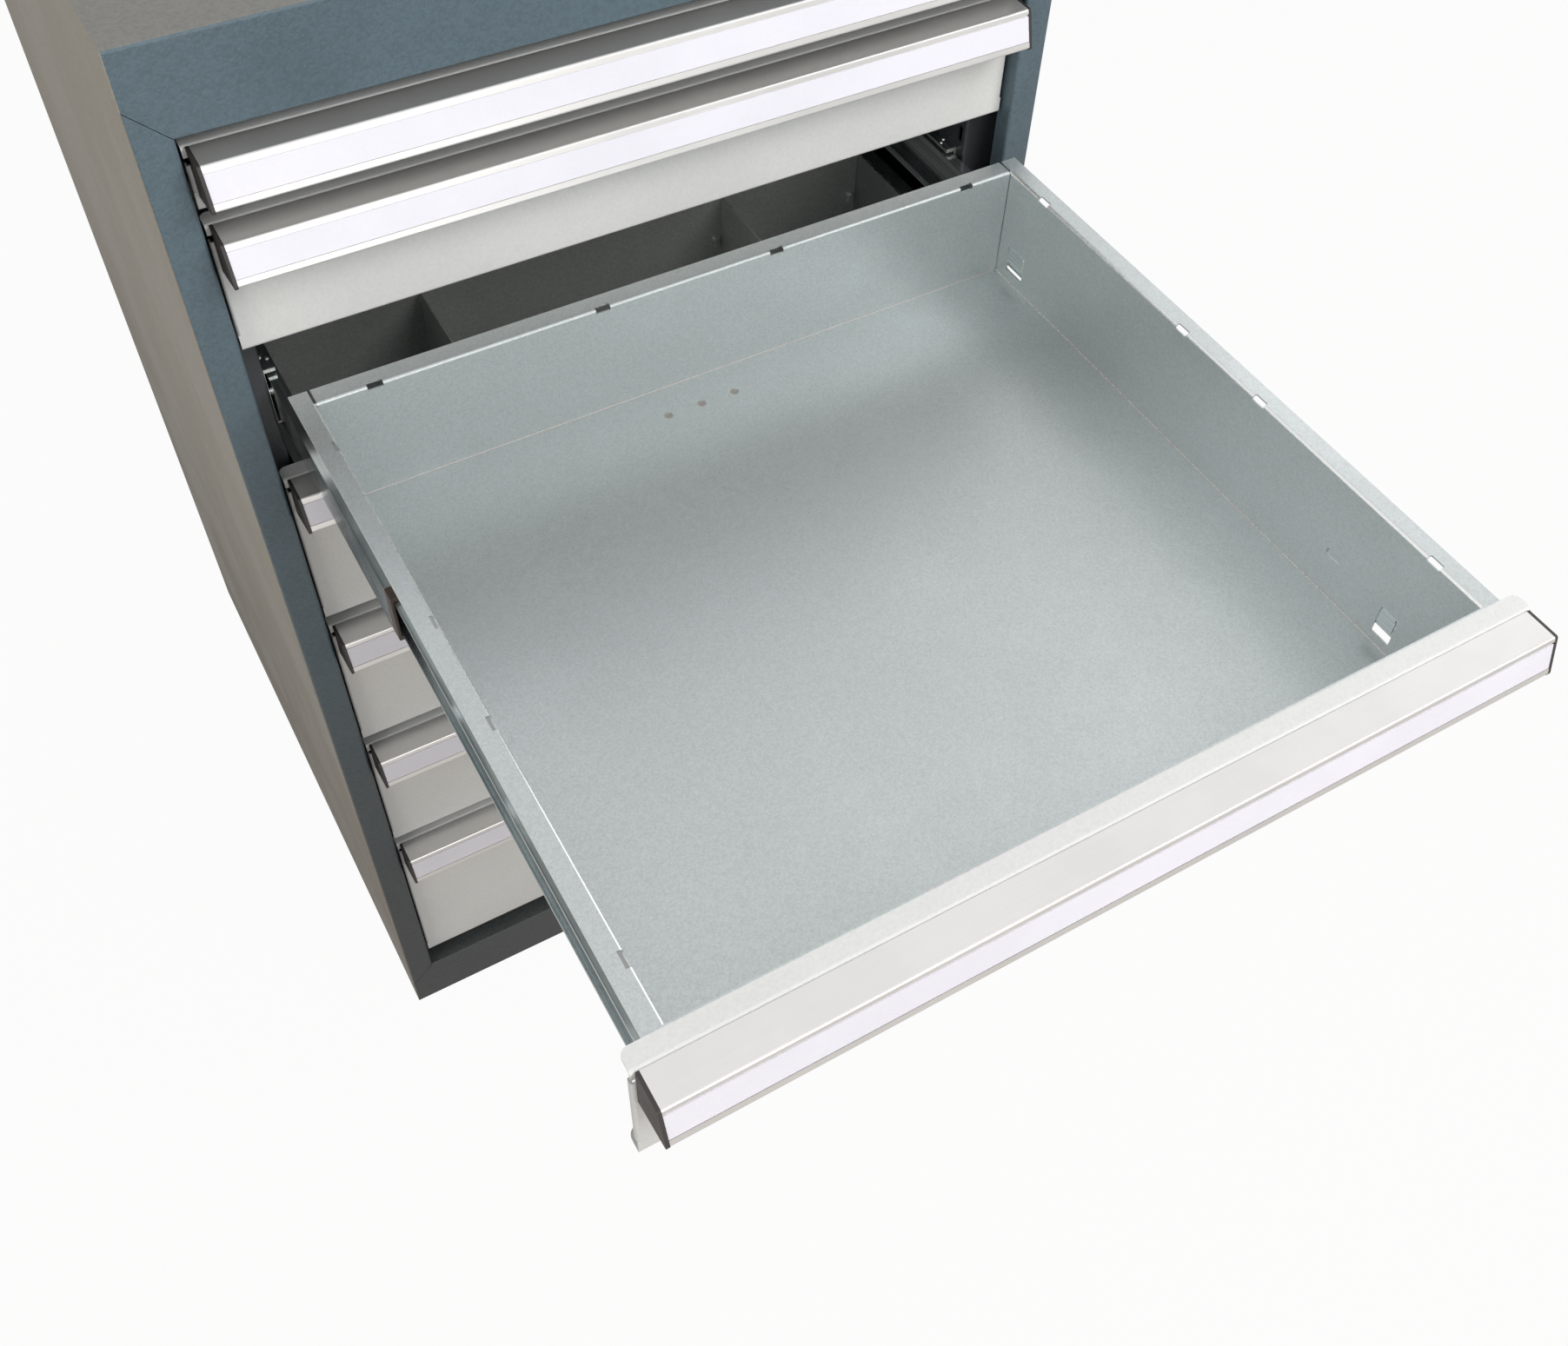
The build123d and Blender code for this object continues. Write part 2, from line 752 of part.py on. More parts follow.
for number, top, height, centre, shift in drawers:
    face_y = closed_face_y - shift
    write_piece(front_panel(top, height, face_y), f"drawer_{number}_front")
    write_piece(handle_bar(top, face_y), f"drawer_{number}_handle")
    write_piece(label_strip(top, face_y), f"drawer_{number}_label_strip")
    write_piece(end_caps(top, face_y), f"drawer_{number}_end_caps")
    write_piece(tray_box(top, height, centre, face_y), f"drawer_{number}_tray")
    write_piece(inner_rails(top, height, centre, face_y), f"drawer_{number}_inner_rails")
    write_piece(middle_rails(centre, shift), f"drawer_{number}_middle_rails")
    if number == partition_drawer:
        floor_level = top - height + tray_lift
        wall_height = height - tray_lift - partition_headroom
        partition_front = face_y + front_flange_depth + tray_sheet + partition_clearance
        cross_wall_y = partition_front - partition_clearance + cross_wall_setback
        cross_wall_length = tray_inner_width - 2 * partition_clearance
        lug_right = tray_inner_width / 2 - lug_gap
        lug_middle = partition_places[1] - partition_thickness / 2 - lug_gap
        with BuildPart() as partitions:
            with BuildSketch(Plane.XY.offset(floor_level)):
                for place in partition_places:
                    with Locations((place, partition_front)):
                        Rectangle(
                            partition_thickness,
                            cross_wall_y - partition_front,
                            align=(Align.CENTER, Align.MIN),
                        )
                with Locations((0, cross_wall_y)):
                    Rectangle(
                        cross_wall_length, partition_thickness, align=(Align.CENTER, Align.MIN)
                    )
            extrude(amount=wall_height)
            with BuildSketch(Plane.XY.offset(floor_level)):
                for place in partition_places:
                    with Locations((place, partition_front)):
                        Rectangle(
                            partition_foot, cross_wall_y - partition_front, align=(Align.MIN, Align.MIN)
                        )
                with Locations((0, cross_wall_y)):
                    Rectangle(cross_wall_length, partition_foot, align=(Align.CENTER, Align.MIN))
            extrude(amount=partition_thickness)
            # lugs on the front of the cross wall, beside the partitions and the tray's walls
            with BuildSketch(Plane.XZ.offset(-cross_wall_y)):
                for right_edge in (lug_right, lug_middle):
                    for side in (-1, 1):
                        with Locations((side * (right_edge - lug_width / 2), top - lug_drop)):
                            RectangleRounded(
                                lug_width, lug_height, lug_width / 3, align=(Align.CENTER, Align.MAX)
                            )
            extrude(amount=lug_depth)
        write_piece(partitions, f"drawer_{number}_partitions")
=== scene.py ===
import json
import math

import bpy
from mathutils import Matrix, Vector


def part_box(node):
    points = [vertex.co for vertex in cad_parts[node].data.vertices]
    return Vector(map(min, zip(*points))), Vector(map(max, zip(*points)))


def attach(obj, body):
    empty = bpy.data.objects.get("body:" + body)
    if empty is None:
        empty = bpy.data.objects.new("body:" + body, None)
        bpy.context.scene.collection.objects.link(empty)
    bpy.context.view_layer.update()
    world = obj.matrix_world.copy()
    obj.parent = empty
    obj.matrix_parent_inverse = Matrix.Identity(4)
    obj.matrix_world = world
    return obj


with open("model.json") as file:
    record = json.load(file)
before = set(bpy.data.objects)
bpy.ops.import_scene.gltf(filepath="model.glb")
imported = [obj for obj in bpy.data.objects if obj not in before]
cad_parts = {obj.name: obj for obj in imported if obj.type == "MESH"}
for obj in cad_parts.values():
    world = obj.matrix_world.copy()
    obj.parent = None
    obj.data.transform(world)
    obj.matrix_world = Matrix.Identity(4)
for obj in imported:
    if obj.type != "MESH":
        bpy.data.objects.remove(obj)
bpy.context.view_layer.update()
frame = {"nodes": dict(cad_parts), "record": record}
drawerNumbers = range(1, 8)
print("frame loaded:", len(frame["nodes"]), "nodes")


def addNode(tree, kind, **values):
    node = tree.nodes.new(kind)
    for name, value in values.items():
        setattr(node, name, value)
    return node


def feed(tree, socket, value):
    # value is a socket to link or a plain setting
    if isinstance(value, bpy.types.NodeSocket):
        tree.links.new(value, socket)
    else:
        socket.default_value = value


def maths(tree, operation, first, second=0.0):
    node = addNode(tree, "ShaderNodeMath", operation=operation)
    feed(tree, node.inputs[0], first)
    feed(tree, node.inputs[1], second)
    return node.outputs[0]


def spread(tree, value, low, high, newLow=0.0, newHigh=1.0):
    node = addNode(tree, "ShaderNodeMapRange", interpolation_type="SMOOTHSTEP")
    settings = {
        "Value": value,
        "From Min": low,
        "From Max": high,
        "To Min": newLow,
        "To Max": newHigh,
    }
    for name, item in settings.items():
        feed(tree, node.inputs[name], item)
    return node.outputs["Result"]


def mixColours(tree, factor, first, second, blend="MIX"):
    # sockets 6 and 7 are the two colours, output 2 is their mix
    node = addNode(tree, "ShaderNodeMix", data_type="RGBA", blend_type=blend)
    feed(tree, node.inputs[0], factor)
    feed(tree, node.inputs[6], first)
    feed(tree, node.inputs[7], second)
    return node.outputs[2]


def objectPoint(tree, scale=(1, 1, 1)):
    place = addNode(tree, "ShaderNodeTexCoord").outputs["Object"]
    mapping = addNode(tree, "ShaderNodeMapping")
    feed(tree, mapping.inputs["Vector"], place)
    mapping.inputs["Scale"].default_value = scale
    return mapping.outputs["Vector"]


def splitVector(tree, vector):
    node = addNode(tree, "ShaderNodeSeparateXYZ")
    feed(tree, node.inputs[0], vector)
    return node.outputs


def splitNormal(tree):
    return splitVector(tree, addNode(tree, "ShaderNodeNewGeometry").outputs["Normal"])


def noise(tree, vector, scale, detail=2.0, roughness=0.5):
    node = addNode(tree, "ShaderNodeTexNoise")
    feed(tree, node.inputs["Vector"], vector)
    feed(tree, node.inputs["Scale"], scale)
    node.inputs["Detail"].default_value = detail
    node.inputs["Roughness"].default_value = roughness
    return node.outputs["Fac"]


def startGroup(name, inputs, outputs):
    # every socket of these groups is a number
    group = bpy.data.node_groups.new(name, "ShaderNodeTree")
    kind = "NodeSocketFloat"
    for label, value in inputs.items():
        socket = group.interface.new_socket(label, in_out="INPUT", socket_type=kind)
        socket.default_value = value
    for label in outputs:
        group.interface.new_socket(label, in_out="OUTPUT", socket_type=kind)
    return group, addNode(group, "NodeGroupInput"), addNode(group, "NodeGroupOutput")


pebbleShape = {"softness": 0.7, "waveShare": 0.6, "cellShare": 0.7, "low": -0.2, "high": 0.4}


def makePebbleGroup():
    # fine pebble of a textured powder coat
    group, inside, out = startGroup(
        "pebbleCoat",
        {"Pebbles per metre": 420.0, "Speckle": 0.1},
        ["Height", "Speckle"],
    )
    shape = pebbleShape
    pebbles = inside.outputs["Pebbles per metre"]
    place = objectPoint(group)
    cells = addNode(group, "ShaderNodeTexVoronoi", feature="SMOOTH_F1")
    feed(group, cells.inputs["Vector"], place)
    feed(group, cells.inputs["Scale"], pebbles)
    cells.inputs["Smoothness"].default_value = shape["softness"]
    wavy = noise(group, place, maths(group, "MULTIPLY", pebbles, shape["waveShare"]))
    dents = maths(group, "MULTIPLY", cells.outputs["Distance"], shape["cellShare"])
    height = maths(group, "SUBTRACT", wavy, dents)
    feed(group, out.inputs["Height"], height)
    darkest = maths(group, "SUBTRACT", 1.0, inside.outputs["Speckle"])
    speckle = spread(group, height, shape["low"], shape["high"], darkest, 1.0)
    feed(group, out.inputs["Speckle"], speckle)
    return group


spangleShape = {
    "wobbleScale": 300.0,
    "wobble": 0.004,
    "fineScale": 3.0,
    "fineDetail": 3.0,
    "fineRoughness": 0.7,
    "cellShare": 0.55,
    "fineShare": 0.45,
    "heightShare": 0.3,
    "low": 0.15,
    "high": 0.8,
}


def makeSpangleGroup():
    # crystals of a zinc coating: cells of slightly different brightness and gloss
    group, inside, out = startGroup(
        "zincSpangle",
        {"Cells per metre": 260.0, "Contrast": 0.2},
        ["Tone", "Gloss", "Height"],
    )
    shape = spangleShape
    cellScale = inside.outputs["Cells per metre"]
    place = objectPoint(group)
    wobble = addNode(group, "ShaderNodeTexNoise")
    feed(group, wobble.inputs["Vector"], place)
    wobble.inputs["Scale"].default_value = shape["wobbleScale"]
    bent = addNode(group, "ShaderNodeVectorMath", operation="MULTIPLY_ADD")
    feed(group, bent.inputs[0], wobble.outputs["Color"])
    bent.inputs[1].default_value = (shape["wobble"],) * 3
    feed(group, bent.inputs[2], place)
    cells = addNode(group, "ShaderNodeTexVoronoi", feature="F1")
    feed(group, cells.inputs["Vector"], bent.outputs[0])
    feed(group, cells.inputs["Scale"], cellScale)
    split = addNode(group, "ShaderNodeSeparateColor")
    feed(group, split.inputs[0], cells.outputs["Color"])
    fineScale = maths(group, "MULTIPLY", cellScale, shape["fineScale"])
    fine = noise(group, place, fineScale, shape["fineDetail"], shape["fineRoughness"])
    cellPart = maths(group, "MULTIPLY", split.outputs[0], shape["cellShare"])
    finePart = maths(group, "MULTIPLY", fine, shape["fineShare"])
    grain = maths(group, "ADD", cellPart, finePart)
    darkest = maths(group, "SUBTRACT", 1.0, inside.outputs["Contrast"])
    feed(group, out.inputs["Tone"], spread(group, grain, shape["low"], shape["high"], darkest, 1.0))
    feed(group, out.inputs["Gloss"], split.outputs[1])
    steps = maths(group, "MULTIPLY", split.outputs[2], shape["heightShare"])
    feed(group, out.inputs["Height"], maths(group, "ADD", fine, steps))
    return group


toneShape = {"detail": 4.0, "roughness": 0.6, "low": 0.35, "high": 0.68}


def makeToneGroup():
    # slow, soft variation over a whole sheet, as from handling and uneven coating
    group, inside, out = startGroup(
        "slowTone",
        {"Patches per metre": 4.0, "Depth": 0.08},
        ["Tone", "Mask"],
    )
    shape = toneShape
    scale = inside.outputs["Patches per metre"]
    patches = noise(group, objectPoint(group), scale, shape["detail"], shape["roughness"])
    mask = spread(group, patches, shape["low"], shape["high"])
    darkest = maths(group, "SUBTRACT", 1.0, inside.outputs["Depth"])
    feed(group, out.inputs["Mask"], mask)
    feed(group, out.inputs["Tone"], spread(group, mask, 0.0, 1.0, darkest, 1.0))
    return group


lineShape = {"detail": 2.0, "roughness": 0.6, "low": 0.3, "high": 0.7}


def makeDrawnLineGroup(name, stretch):
    # fine lines left by the die of an extrusion or by rolling
    group, inside, out = startGroup(
        name,
        {"Lines per metre": 1500.0, "Depth": 0.1},
        ["Tone", "Height"],
    )
    shape = lineShape
    place = objectPoint(group, stretch)
    scale = inside.outputs["Lines per metre"]
    lines = noise(group, place, scale, shape["detail"], shape["roughness"])
    darkest = maths(group, "SUBTRACT", 1.0, inside.outputs["Depth"])
    feed(group, out.inputs["Height"], lines)
    tone = spread(group, lines, shape["low"], shape["high"], darkest, 1.0)
    feed(group, out.inputs["Tone"], tone)
    return group


edgeShape = {"bendStart": 0.2, "bendFull": 0.42, "cutStart": 0.8, "cutFull": 0.95}


def makeEdgeGroup():
    # masks of a sheet's bends, which get a painted highlight, and of its sheared edges, whose bare
    # steel is lightened partly as a painted highlight
    group, inside, out = startGroup("sheetEdges", {"Edge half width": 0.3146}, ["Bend", "Cut"])
    shape = edgeShape
    facing = splitNormal(group)
    across = maths(group, "ABSOLUTE", facing["X"])
    upward = maths(group, "MAXIMUM", facing["Z"], 0.0)
    bendHighlight = maths(group, "MULTIPLY", across, upward)
    feed(group, out.inputs["Bend"], spread(group, bendHighlight, shape["bendStart"], shape["bendFull"]))
    sideways = maths(group, "ABSOLUTE", splitVector(group, objectPoint(group))["X"])
    beyond = maths(group, "GREATER_THAN", sideways, inside.outputs["Edge half width"])
    sheared = spread(group, across, shape["cutStart"], shape["cutFull"])
    feed(group, out.inputs["Cut"], maths(group, "MULTIPLY", sheared, beyond))
    return group


pebbleCoat = makePebbleGroup()
zincSpangle = makeSpangleGroup()
slowTone = makeToneGroup()
handleLines = makeDrawnLineGroup("handleLines", (0.004, 1, 1))  # drawn out across the width
railLinesAndReflectionBands = makeDrawnLineGroup("railLinesAndReflectionBands", (1, 0.004, 1))  # drawn out from front to back
sheetEdges = makeEdgeGroup()


def useGroup(tree, group, **values):
    # lines_per_metre sets the socket named Lines per metre
    node = addNode(tree, "ShaderNodeGroup", node_tree=group)
    for name, value in values.items():
        node.inputs[name.replace("_", " ").capitalize()].default_value = value
    return node


def newMaterial(name, metallic=0.0):
    material = bpy.data.materials.new(name)
    material.use_nodes = True
    tree = material.node_tree
    tree.nodes.clear()
    shader = addNode(tree, "ShaderNodeBsdfPrincipled")
    output = addNode(tree, "ShaderNodeOutputMaterial")
    tree.links.new(shader.outputs[0], output.inputs["Surface"])
    shader.inputs["Metallic"].default_value = metallic
    return material, tree, shader


def addBump(tree, shader, height, look):
    bump = addNode(tree, "ShaderNodeBump")
    bump.inputs["Distance"].default_value, bump.inputs["Strength"].default_value = look["bump"]
    feed(tree, bump.inputs["Height"], height)
    feed(tree, shader.inputs["Normal"], bump.outputs["Normal"])


def toned(tree, colour, *tones):
    # colour darkened by each tone in turn
    result = colour
    for tone in tones:
        grey = addNode(tree, "ShaderNodeCombineColor")
        for socket in grey.inputs[:3]:
            feed(tree, socket, tone)
        result = mixColours(tree, 1.0, result, grey.outputs[0], "MULTIPLY")
    return result


def between(tree, mask, limits):
    low, high = limits
    return spread(tree, mask, 0.0, 1.0, low, high)


# in each look, patches and lines are (number per metre, depth), bump is (distance, strength)
# the housing is one paint: the side (skin) and top (roof) colours are lighter, warmer lit copies of
# the front colour, painted light, and the low colours are painted shade towards the floor
housingLook = {
    "frontColour": (0.086, 0.125, 0.15, 1),
    "frontPaintedShadeColour": (0.046, 0.052, 0.053, 1),
    "skinPaintedLightColour": (0.27, 0.246, 0.2, 1),
    "skinLowPaintedShadeColour": (0.16, 0.135, 0.105, 1),
    "roofPaintedLightColour": (0.18, 0.178, 0.164, 1),
    "paintedShadeHeights": (0.1, 0.95),  # heights between which the colours change
    "paintedLightSideZone": (0.3576, 0.3583),  # distances from the middle plane
    "paintedLightRoofZone": (1.2291, 1.2298),
    "roughness": (0.38, 0.5),
    "pebbles": 430.0,
    "speckle": 0.16,
    "patches": (5.0, 0.1),
    "bump": (0.0006, 0.55),
}


def housingColourWithPaintedLight(tree, look):
    place = splitVector(tree, objectPoint(tree))
    # painted shade: front and sides darken towards the floor between the listed heights
    height = spread(tree, place["Z"], *look["paintedShadeHeights"])
    front = mixColours(tree, height, look["frontPaintedShadeColour"], look["frontColour"])
    sideWithPaintedLight = mixColours(tree, height, look["skinLowPaintedShadeColour"], look["skinPaintedLightColour"])
    # painted light: the sides and then the top take the lit copies of the paint
    sideways = maths(tree, "ABSOLUTE", place["X"])
    colour = mixColours(tree, spread(tree, sideways, *look["paintedLightSideZone"]), front, sideWithPaintedLight)
    roofPaintedLightMask = spread(tree, place["Z"], *look["paintedLightRoofZone"])
    return mixColours(tree, roofPaintedLightMask, colour, look["roofPaintedLightColour"])


def plainColour(tree, look):
    return look["colour"]


def makeGrainedCoat(name, look, pickColour=plainColour):
    # powder coats and moulded plastics
    material, tree, shader = newMaterial(name)
    grain = useGroup(tree, pebbleCoat, pebbles_per_metre=look["pebbles"], speckle=look["speckle"])
    number, depth = look["patches"]
    patches = useGroup(tree, slowTone, patches_per_metre=number, depth=depth)
    tones = (grain.outputs["Speckle"], patches.outputs["Tone"])
    feed(tree, shader.inputs["Base Color"], toned(tree, pickColour(tree, look), *tones))
    gloss = between(tree, patches.outputs["Mask"], look["roughness"])
    feed(tree, shader.inputs["Roughness"], gloss)
    addBump(tree, shader, grain.outputs["Height"], look)
    return material


frontLook = {
    "colour": (0.63, 0.635, 0.625, 1),
    "roughness": (0.34, 0.44),
    "pebbles": 520.0,
    "speckle": 0.05,
    "patches": (6.0, 0.04),
    "bump": (0.0004, 0.35),
}
postLook = {
    "colour": (0.05, 0.054, 0.06, 1),
    "roughness": (0.26, 0.36),
    "pebbles": 500.0,
    "speckle": 0.14,
    "patches": (8.0, 0.2),
    "bump": (0.0004, 0.3),
}
capLook = {
    "colour": (0.032, 0.028, 0.027, 1),
    "roughness": (0.42, 0.55),
    "pebbles": 1600.0,
    "speckle": 0.2,
    "patches": (20.0, 0.12),
    "bump": (0.00015, 0.4),
}
stopLook = {**capLook, "colour": (0.05, 0.034, 0.026, 1), "roughness": (0.4, 0.5)}

trayLook = {
    "colour": (0.61, 0.65, 0.65, 1),
    "bendHighlightColour": (0.78, 0.79, 0.77, 1),
    "cutSteelAndHighlightColour": (0.8, 0.8, 0.76, 1),
    "metallic": 0.95,
    "cutMetallic": 0.3,
    "roughness": (0.34, 0.46),
    "bendGlossGain": 0.12,
    "cells": 900.0,
    "contrast": 0.14,
    "patches": (3.0, 0.08),
    "bump": (0.0001, 0.12),
}
# the fold pieces are darker and browner than the tray's sheet
foldLook = {
    **trayLook,
    "colour": (0.5, 0.49, 0.47, 1),
    "bendHighlightColour": (0.54, 0.52, 0.49, 1),
    "metallic": 0.7,
    "roughness": (0.36, 0.48),
}
# partition sheet: the tray's galvanised sheet made lighter and less metallic, as painted light in
# the dim inside of the drawer
wallLookPaintedLight = {
    **trayLook,
    "colour": (0.74, 0.76, 0.74, 1),
    "metallic": 0.6,
    "roughness": (0.32, 0.46),
    "cells": 700.0,
    "contrast": 0.18,
}
tabLook = {
    **trayLook,
    "colour": (0.86, 0.87, 0.84, 1),
    "metallic": 0.8,
    "roughness": (0.2, 0.3),
    "cells": 1200.0,
    "contrast": 0.08,
}


def makeZincSheet(name, look):
    material, tree, shader = newMaterial(name)
    cells, contrast = look["cells"], look["contrast"]
    spangle = useGroup(tree, zincSpangle, cells_per_metre=cells, contrast=contrast)
    number, depth = look["patches"]
    patches = useGroup(tree, slowTone, patches_per_metre=number, depth=depth)
    edges = useGroup(tree, sheetEdges)
    bendHighlight, cut = edges.outputs["Bend"], edges.outputs["Cut"]
    colour = toned(tree, look["colour"], spangle.outputs["Tone"], patches.outputs["Tone"])
    # painted highlight: the bends take a lighter colour
    colour = mixColours(tree, bendHighlight, colour, look["bendHighlightColour"])
    # sheared edges: bare steel colour, lightened partly as a painted highlight
    colour = mixColours(tree, cut, colour, look["cutSteelAndHighlightColour"])
    feed(tree, shader.inputs["Base Color"], colour)
    metallic = between(tree, cut, (look["metallic"], look["cutMetallic"]))
    feed(tree, shader.inputs["Metallic"], metallic)
    gloss = between(tree, spangle.outputs["Gloss"], look["roughness"])
    gain = maths(tree, "MULTIPLY", bendHighlight, look["bendGlossGain"])
    feed(tree, shader.inputs["Roughness"], maths(tree, "SUBTRACT", gloss, gain))
    addBump(tree, shader, spangle.outputs["Height"], look)
    return material


def startDrawnMetal(name, look, lineGroup):
    # what the rails and the handles share: lines along their length and slow patches
    material, tree, shader = newMaterial(name, look["metallic"])
    number, depth = look["lines"]
    lines = useGroup(tree, lineGroup, lines_per_metre=number, depth=depth)
    number, depth = look["patches"]
    patches = useGroup(tree, slowTone, patches_per_metre=number, depth=depth)
    colour = toned(tree, look["colour"], lines.outputs["Tone"], patches.outputs["Tone"])
    gloss = between(tree, patches.outputs["Mask"], look["roughness"])
    feed(tree, shader.inputs["Roughness"], gloss)
    addBump(tree, shader, lines.outputs["Height"], look)
    return material, tree, shader, colour


railLook = {
    "colour": (0.8, 0.86, 0.87, 1),
    "shearedSteelAndHighlightColour": (0.85, 0.83, 0.78, 1),
    "shearedZone": (0.85, 0.97),
    "metallic": 0.95,
    "shearedMetallic": 0.4,
    "roughness": (0.14, 0.24),
    # rolling lines, deep enough to serve also as painted bright and dark reflection bands along the
    # rails
    "lines": (500.0, 0.4),
    "patches": (12.0, 0.08),
    "bump": (0.00006, 0.2),
}


def makeRailZinc():
    look = railLook
    material, tree, shader, colour = startDrawnMetal("railZinc", look, railLinesAndReflectionBands)
    endOn = maths(tree, "ABSOLUTE", splitNormal(tree)["Y"])
    # end faces of the rails: bare sheared steel, lightened partly as a painted highlight
    sheared = spread(tree, endOn, *look["shearedZone"])
    colour = mixColours(tree, sheared, colour, look["shearedSteelAndHighlightColour"])
    feed(tree, shader.inputs["Base Color"], colour)
    metallic = between(tree, sheared, (look["metallic"], look["shearedMetallic"]))
    feed(tree, shader.inputs["Metallic"], metallic)
    return material


handleLook = {
    "colour": (0.75, 0.74, 0.725, 1),
    "metallic": 0.8,
    "roughness": (0.32, 0.38),
    "lines": (2200.0, 0.03),
    "patches": (7.0, 0.04),
    "bump": (0.00002, 0.15),
}


def makeHandleMetal():
    material, tree, shader, colour = startDrawnMetal("handleAluminium", handleLook, handleLines)
    feed(tree, shader.inputs["Base Color"], colour)
    return material


labelLook = {
    "colour": (0.68, 0.675, 0.735, 1),
    "roughness": (0.34, 0.42),
    "fibres": 900.0,
    "fibreStretch": (0.3, 1, 1),
    "fibreDetail": 4.0,
    "fibreRoughness": 0.7,
    "fibreZone": (0.2, 0.8),
    "fibreTone": (0.96, 1.0),
    "patches": (9.0, 0.04),
    "bump": (0.00005, 0.2),
    "film": 0.3,
    "filmRoughness": 0.12,
}


def makeLabelPaper():
    # paper strip under a clear film
    material, tree, shader = newMaterial("labelPaper")
    look = labelLook
    place = objectPoint(tree, look["fibreStretch"])
    fibres = noise(tree, place, look["fibres"], look["fibreDetail"], look["fibreRoughness"])
    number, depth = look["patches"]
    patches = useGroup(tree, slowTone, patches_per_metre=number, depth=depth)
    fibreTone = spread(tree, fibres, *look["fibreZone"], *look["fibreTone"])
    colour = toned(tree, look["colour"], patches.outputs["Tone"], fibreTone)
    feed(tree, shader.inputs["Base Color"], colour)
    gloss = spread(tree, fibres, *look["fibreZone"], *look["roughness"])
    feed(tree, shader.inputs["Roughness"], gloss)
    shader.inputs["Coat Weight"].default_value = look["film"]
    shader.inputs["Coat Roughness"].default_value = look["filmRoughness"]
    addBump(tree, shader, fibres, look)
    return material


postPaint = makeGrainedCoat("postPaint", postLook)
stopPlastic = makeGrainedCoat("stopPlastic", stopLook)
foldSheet = makeZincSheet("foldSheet", foldLook)
wallSheetPaintedLight = makeZincSheet("wallSheetPaintedLight", wallLookPaintedLight)
tabZinc = makeZincSheet("tabZinc", tabLook)

slotMaterials = {
    "housing_paint": makeGrainedCoat("housingPaint", housingLook, housingColourWithPaintedLight),
    "front_paint": makeGrainedCoat("frontPaint", frontLook),
    "galvanised_sheet": makeZincSheet("traySheet", trayLook),
    "rail_zinc": makeRailZinc(),
    "handle_aluminium": makeHandleMetal(),
    "label_paper": makeLabelPaper(),
    "cap_plastic": makeGrainedCoat("capPlastic", capLook),
}
nodeMaterials = {
    "left_slide_posts": postPaint,
    "right_slide_posts": postPaint,
    "drawer_4_partitions": wallSheetPaintedLight,
}
for subpart in frame["record"]["subparts"]:
    node = subpart["node"]
    cadMaterials = frame["nodes"][node].data.materials
    cadMaterials.clear()
    cadMaterials.append(nodeMaterials.get(node, slotMaterials[subpart["material_slot"]]))
print("materials made")


def makePiece(name, points, faces, material, body, slotName, bevel=0.0):
    mesh = bpy.data.meshes.new(name)
    mesh.from_pydata([tuple(p) for p in points], [], faces)
    mesh.validate()
    mesh.update()
    piece = bpy.data.objects.new(name, mesh)
    bpy.context.scene.collection.objects.link(piece)
    mesh.materials.append(material)
    if bevel:
        rounding = piece.modifiers.new("roundedEdges", "BEVEL")
        rounding.width = bevel
        rounding.segments = 2
        rounding.limit_method = "ANGLE"
        rounding.harden_normals = False
    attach(piece, body)


def sweptOutline(outline, start, end, across, up):
    # points and faces of a closed outline (across, up) carried from start to end
    count = len(outline)
    points = []
    for base in (Vector(start), Vector(end)):
        points += [base + Vector(across) * a + Vector(up) * b for a, b in outline]
    faces = [(i, (i + 1) % count, count + (i + 1) % count, count + i) for i in range(count)]
    faces.append(tuple(reversed(range(count))))
    faces.append(tuple(range(count, 2 * count)))
    return points, faces


def rectangle(firstAcross, firstUp, lastAcross, lastUp):
    # outline of a rectangle given by two opposite corners
    return [
        (firstAcross, firstUp),
        (lastAcross, firstUp),
        (lastAcross, lastUp),
        (firstAcross, lastUp),
    ]


def joinParts(parts):
    points, faces = [], []
    for partPoints, partFaces in parts:
        offset = len(points)
        points += partPoints
        faces += [tuple(i + offset for i in face) for face in partFaces]
    return points, faces


# rounded folds between a tray's floor and its walls
foldSizes = {"radius": 0.0009, "steps": 5, "wall": 0.3, "sheet": 0.0012, "backFlange": 0.016}


def makeTrayBends(number):
    low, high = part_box(f"drawer_{number}_tray")
    radius, wall, steps = foldSizes["radius"], foldSizes["wall"], foldSizes["steps"]
    floorZ = low.z + foldSizes["sheet"]
    frontY = low.y + foldSizes["sheet"]
    backY = high.y - foldSizes["backFlange"]
    arc = [(0.0, 0.0)]
    for step in range(steps + 1):
        angle = math.radians(90) * step / steps
        arc.append((radius * (1 - math.sin(angle)), radius * (1 - math.cos(angle))))
    up = (0, 0, 1)
    parts = []
    for side in (-1, 1):
        start, end = (side * wall, frontY, floorZ), (side * wall, backY, floorZ)
        parts.append(sweptOutline(arc, start, end, (-side, 0, 0), up))
    for edgeY, inward in ((frontY, 1), (backY, -1)):
        start, end = (-wall, edgeY, floorZ), (wall, edgeY, floorZ)
        parts.append(sweptOutline(arc, start, end, (0, inward, 0), up))
    body = f"drawer_{number}"
    makePiece(f"tray_bends_{number}", *joinParts(parts), foldSheet, body, "galvanised_sheet")


for number in drawerNumbers:
    makeTrayBends(number)
print("tray bends made")

